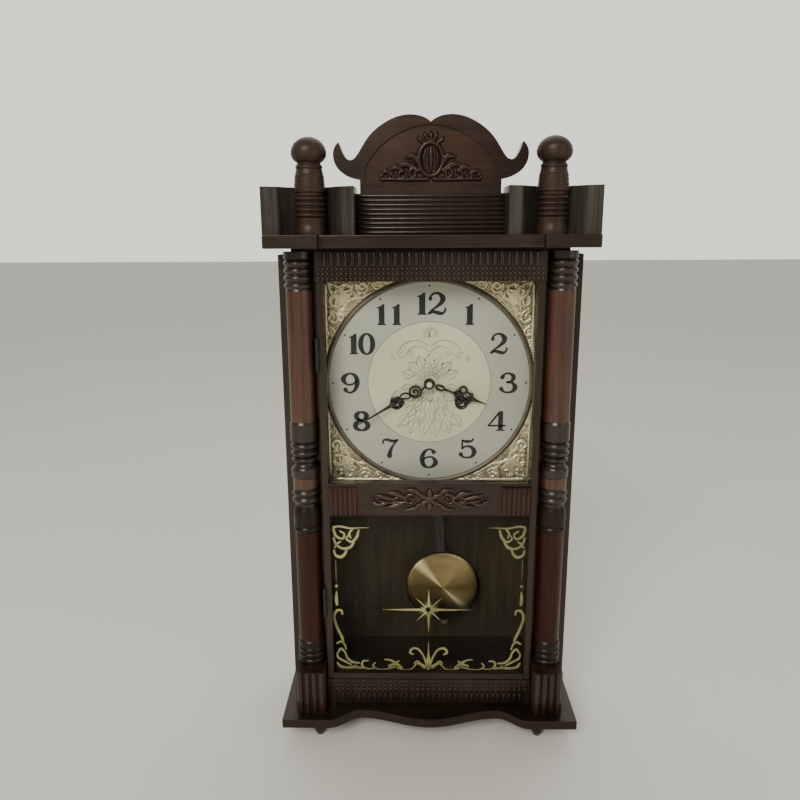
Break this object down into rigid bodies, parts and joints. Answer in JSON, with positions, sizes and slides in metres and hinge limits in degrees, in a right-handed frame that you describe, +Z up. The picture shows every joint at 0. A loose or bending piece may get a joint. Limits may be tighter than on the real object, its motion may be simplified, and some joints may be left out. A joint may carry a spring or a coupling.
{
  "type": "pendulum wall clock",
  "caption": "Tall wooden wall clock with a glazed door between turned half-columns, an arched crest with finials, a round dial and a swinging brass pendulum.",
  "frame": {"origin": "on the ground under the middle of the clock's bounding box", "axes": "+Z up, the dial faces -Y, +X to the viewer's right"},
  "size_m": [0.2874, 0.125, 0.59],
  "materials": {
    "case_wood": "dark lacquered wood, semi-gloss",
    "plain_board": "thin fibre back board, plain brown",
    "column_wood": "red-brown lacquered wood, darker in the turned grooves",
    "moulding_wood": "dark lacquered wood with close reeds and beads",
    "crest_wood": "dark lacquered wood",
    "carving_wood": "dark lacquered carving",
    "steel": "plain steel",
    "dark_metal": "black-brown finish",
    "embossed_brass": "embossed brass sheet",
    "dial_silver": "silvered satin dial",
    "bronze": "dark bronze ring",
    "brass": "plain brass",
    "bob_brass": "radially brushed brass",
    "hand_black": "black enamel",
    "glass": "clear sheet glass"
  },
  "bodies": {
    "case": {"back_board": "plain_board", "side_panels": "case_wood", "case_top": "case_wood", "case_floor": "case_wood", "face_frame": "case_wood", "base_plate": "case_wood", "base_feet": "case_wood", "plinth_blocks": "case_wood", "column_left": "column_wood", "column_right": "column_wood", "apron_moulding": "moulding_wood", "cornice": "case_wood", "gallery_wings": "case_wood", "gallery_panel": "moulding_wood", "crest_board": "crest_wood", "crest_carving": "crest_wood", "finials": "case_wood", "hanger_plate": "steel", "dial_plate": "embossed_brass", "chapter_disc": "dial_silver", "dial_bezel": "bronze", "winding_grommets": "dark_metal", "plate_front": "brass", "plate_back": "brass", "movement_bracket": "dark_metal", "mainsprings": "steel", "gong": "steel", "gong_base": "dark_metal", "case_hinge_leaves": "dark_metal", "magnet_catch": "dark_metal", "suspension_spring": "steel"},
    "door": {"door_stiles": "case_wood", "door_rails": "case_wood", "door_rail_middle": "case_wood", "frieze_moulding": "moulding_wood", "dial_glass": "glass", "pendulum_glass": "glass", "rail_carving": "carving_wood", "rail_reed_blocks": "carving_wood", "door_fittings": "dark_metal"},
    "minute_hand": {"minute_hand": "hand_black", "cannon_pinion": "steel"},
    "hour_hand": {"hour_hand": "hand_black", "hour_wheel": "brass"},
    "minute_wheel": {"minute_wheel": "brass"},
    "winding_arbor_time": {"winding_arbor_time": "steel"},
    "winding_arbor_strike": {"winding_arbor_strike": "steel"},
    "great_wheel_time": {"great_wheel_time": "brass"},
    "great_wheel_strike": {"great_wheel_strike": "brass"},
    "second_wheel": {"second_wheel": "brass"},
    "centre_wheel": {"centre_wheel": "brass"},
    "third_wheel": {"third_wheel": "brass"},
    "escape_wheel": {"escape_wheel": "brass"},
    "anchor": {"anchor_and_crutch": "steel"},
    "pendulum": {"pendulum_rod": "dark_metal", "pendulum_bob": "bob_brass"},
    "rating_nut": {"rating_nut": "brass"},
    "strike_wheel": {"strike_wheel": "brass"},
    "hammer": {"hammer": "steel"},
    "fly": {"fly": "brass"}
  },
  "joints": [
    {"name": "door_hinge", "type": "hinge", "parent": "case", "child": "door", "pos_m": [-0.1018, -0.0364, 0.25], "axis": [0, 0, -1], "range_deg": [0, 95]},
    {"name": "minute_hand_turn", "type": "hinge", "parent": "case", "child": "minute_hand", "pos_m": [0, 0.018, 0.3525], "axis": [0, 1, 0], "continuous": true},
    {"name": "hour_hand_turn", "type": "hinge", "parent": "case", "child": "hour_hand", "pos_m": [0, 0.018, 0.3525], "axis": [0, 1, 0], "continuous": true},
    {"name": "minute_wheel_turn", "type": "hinge", "parent": "case", "child": "minute_wheel", "pos_m": [-0.01039, 0.018, 0.3585], "axis": [0, 1, 0], "continuous": true},
    {"name": "third_wheel_turn", "type": "hinge", "parent": "case", "child": "third_wheel", "pos_m": [-0.01406, 0.018, 0.36942], "axis": [0, 1, 0], "continuous": true},
    {"name": "centre_wheel_turn", "type": "hinge", "parent": "case", "child": "centre_wheel", "pos_m": [0, 0.018, 0.3525], "axis": [0, 1, 0], "continuous": true},
    {"name": "escape_wheel_turn", "type": "hinge", "parent": "case", "child": "escape_wheel", "pos_m": [0, 0.018, 0.38], "axis": [0, 1, 0], "continuous": true},
    {"name": "second_wheel_turn", "type": "hinge", "parent": "case", "child": "second_wheel", "pos_m": [0.02374, 0.018, 0.3618], "axis": [0, 1, 0], "continuous": true},
    {"name": "great_wheel_time_turn", "type": "hinge", "parent": "case", "child": "great_wheel_time", "pos_m": [0.031, 0.018, 0.333], "axis": [0, 1, 0], "continuous": true},
    {"name": "wind_time", "type": "hinge", "parent": "case", "child": "winding_arbor_time", "pos_m": [0.031, 0.018, 0.333], "axis": [0, 1, 0], "continuous": true},
    {"name": "wind_strike", "type": "hinge", "parent": "case", "child": "winding_arbor_strike", "pos_m": [-0.031, 0.018, 0.333], "axis": [0, 1, 0], "continuous": true},
    {"name": "strike_wheel_turn", "type": "hinge", "parent": "case", "child": "strike_wheel", "pos_m": [-0.04402, 0.018, 0.35969], "axis": [0, 1, 0], "continuous": true},
    {"name": "great_wheel_strike_turn", "type": "hinge", "parent": "case", "child": "great_wheel_strike", "pos_m": [-0.031, 0.018, 0.333], "axis": [0, 1, 0], "continuous": true},
    {"name": "fly_turn", "type": "hinge", "parent": "case", "child": "fly", "pos_m": [-0.03855, 0.018, 0.37473], "axis": [0, 1, 0], "continuous": true},
    {"name": "pendulum_swing", "type": "hinge", "parent": "case", "child": "pendulum", "pos_m": [0, 0.038, 0.398], "axis": [0, 1, 0], "range_deg": [-1.6, 8.4]},
    {"name": "anchor_rock", "type": "hinge", "parent": "case", "child": "anchor", "pos_m": [0, 0.038, 0.398], "axis": [0, 1, 0], "range_deg": [-1.6, 8.4]},
    {"name": "rating_nut_turn", "type": "hinge", "parent": "pendulum", "child": "rating_nut", "pos_m": [0.01907, 0.038, 0.07697], "axis": [-0.0593, 0, 0.9982], "continuous": true},
    {"name": "hammer_swing", "type": "hinge", "parent": "case", "child": "hammer", "pos_m": [-0.055, 0.049, 0.3745], "axis": [0, 1, 0], "range_deg": [-3.9, 12]}
  ],
  "couplings": [
    {"joint": "hour_hand_turn", "follows": "minute_hand_turn", "ratio": 0.083333},
    {"joint": "minute_wheel_turn", "follows": "minute_hand_turn", "ratio": -0.33333},
    {"joint": "centre_wheel_turn", "follows": "third_wheel_turn", "ratio": -0.1},
    {"joint": "escape_wheel_turn", "follows": "third_wheel_turn", "ratio": -10},
    {"joint": "second_wheel_turn", "follows": "third_wheel_turn", "ratio": 0.013333},
    {"joint": "great_wheel_time_turn", "follows": "third_wheel_turn", "ratio": -0.0016667},
    {"joint": "great_wheel_strike_turn", "follows": "strike_wheel_turn", "ratio": -0.125},
    {"joint": "fly_turn", "follows": "strike_wheel_turn", "ratio": -9},
    {"joint": "anchor_rock", "follows": "pendulum_swing", "ratio": 1}
  ]
}
